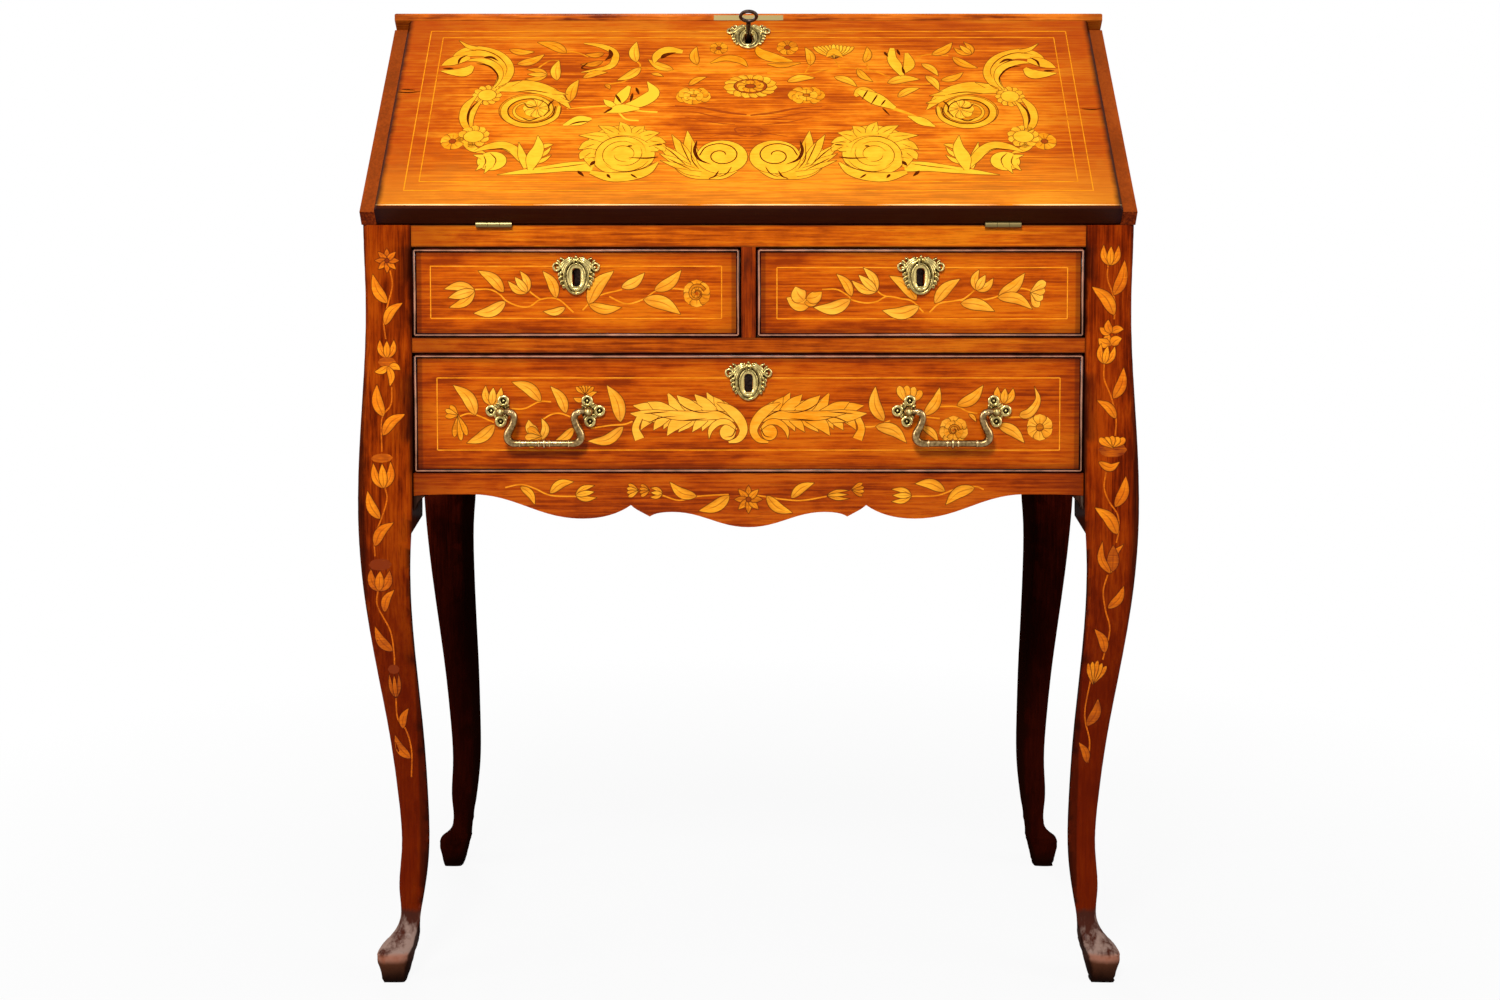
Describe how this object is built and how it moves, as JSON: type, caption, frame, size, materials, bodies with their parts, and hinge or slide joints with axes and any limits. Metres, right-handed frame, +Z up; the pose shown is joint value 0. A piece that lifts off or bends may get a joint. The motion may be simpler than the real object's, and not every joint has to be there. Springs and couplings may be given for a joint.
{
  "type": "slant-front writing desk",
  "caption": "Slant-front writing desk on cabriole legs, walnut with floral marquetry; a hinged fall over pigeonholes, drawers with brass keyhole plates and bail handles.",
  "frame": {"origin": "on the floor under the middle of the overall box", "axes": "+Z up, +X to the right seen from the front, the front faces -Y"},
  "size_m": [0.79, 0.4282, 1.0167],
  "materials": {
    "walnut_case": "polished walnut",
    "walnut_marquetry": "polished walnut veneer with pale floral marquetry",
    "dark_bead": "dark stained, polished",
    "oak_lining": "bare waxed oak",
    "brass_fittings": "aged, rubbed bright on the high places",
    "iron_key": "dark, worn smooth"
  },
  "bodies": {
    "case": {"left_side": "walnut_case", "right_side": "walnut_case", "back_board": "oak_lining", "top_board": "walnut_case", "writing_bed": "walnut_case", "top_rail": "walnut_case", "mid_rail": "walnut_case", "front_apron": "walnut_marquetry", "drawer_divider": "walnut_case", "dust_board": "oak_lining", "bottom_board": "oak_lining", "front_left_leg": "walnut_marquetry", "front_right_leg": "walnut_marquetry", "rear_left_leg": "walnut_case", "rear_right_leg": "walnut_case", "knee_brackets": "walnut_case", "drawer_guides": "oak_lining", "fall_stops": "walnut_case", "gallery_shelf": "walnut_case", "gallery_dividers": "walnut_case", "fall_striker_plate": "brass_fittings", "hinge_case_leaves": "brass_fittings", "hinge_pins": "brass_fittings", "hinge_case_screws": "brass_fittings"},
    "fall": {"fall_board": "walnut_marquetry", "fall_escutcheon": "brass_fittings", "fall_lock_case": "brass_fittings", "hinge_fall_leaves": "brass_fittings", "hinge_fall_screws": "brass_fittings"},
    "fall_bolt": {"fall_lock_bolt": "brass_fittings"},
    "key": {"fall_key": "iron_key"},
    "left_drawer": {"left_drawer_front": "walnut_marquetry", "left_drawer_bead": "dark_bead", "left_drawer_sides": "oak_lining", "left_drawer_bottom": "oak_lining", "left_drawer_back": "oak_lining", "left_drawer_lock": "brass_fittings", "left_drawer_escutcheon": "brass_fittings"},
    "right_drawer": {"right_drawer_front": "walnut_marquetry", "right_drawer_bead": "dark_bead", "right_drawer_sides": "oak_lining", "right_drawer_bottom": "oak_lining", "right_drawer_back": "oak_lining", "right_drawer_lock": "brass_fittings", "right_drawer_escutcheon": "brass_fittings"},
    "long_drawer": {"long_drawer_front": "walnut_marquetry", "long_drawer_bead": "dark_bead", "long_drawer_sides": "oak_lining", "long_drawer_bottom": "oak_lining", "long_drawer_back": "oak_lining", "long_drawer_lock": "brass_fittings", "long_drawer_escutcheon": "brass_fittings", "handle_rosettes": "brass_fittings", "handle_posts": "brass_fittings"},
    "left_bail": {"left_bail": "brass_fittings"},
    "right_bail": {"right_bail": "brass_fittings"},
    "inner_left_drawer": {"inner_left_drawer_box": "walnut_case", "inner_left_drawer_knob": "brass_fittings"},
    "inner_right_drawer": {"inner_right_drawer_box": "walnut_case", "inner_right_drawer_knob": "brass_fittings"}
  },
  "joints": [
    {"name": "fall_hinge", "type": "hinge", "parent": "case", "child": "fall", "pos_m": [0, -0.19808, 0.78], "axis": [1, 0, 0], "range_deg": [0, 132]},
    {"name": "key_turn", "type": "hinge", "parent": "fall", "child": "key", "pos_m": [0, -0.03016, 0.9814], "axis": [0, -0.7431, 0.6692], "range_deg": [0, 180]},
    {"name": "bolt_throw", "type": "slide", "parent": "fall", "child": "fall_bolt", "axis": [0, 0.6692, 0.7431], "range_m": [0, 0.008]},
    {"name": "left_drawer_slide", "type": "slide", "parent": "case", "child": "left_drawer", "axis": [0, -1, 0], "range_m": [0, 0.23]},
    {"name": "right_drawer_slide", "type": "slide", "parent": "case", "child": "right_drawer", "axis": [0, -1, 0], "range_m": [0, 0.23]},
    {"name": "long_drawer_slide", "type": "slide", "parent": "case", "child": "long_drawer", "axis": [0, -1, 0], "range_m": [0, 0.28]},
    {"name": "left_bail_swing", "type": "hinge", "parent": "long_drawer", "child": "left_bail", "pos_m": [-0.20464, -0.20858, 0.5927], "axis": [-1, 0, 0], "range_deg": [-12, 110]},
    {"name": "right_bail_swing", "type": "hinge", "parent": "long_drawer", "child": "right_bail", "pos_m": [0.20464, -0.20858, 0.5927], "axis": [-1, 0, 0], "range_deg": [-12, 110]},
    {"name": "inner_left_drawer_slide", "type": "slide", "parent": "case", "child": "inner_left_drawer", "axis": [0, -1, 0], "range_m": [0, 0.12]},
    {"name": "inner_right_drawer_slide", "type": "slide", "parent": "case", "child": "inner_right_drawer", "axis": [0, -1, 0], "range_m": [0, 0.12]}
  ],
  "couplings": [
    {"joint": "bolt_throw", "follows": "key_turn", "m_per_rad": 0.0025}
  ]
}
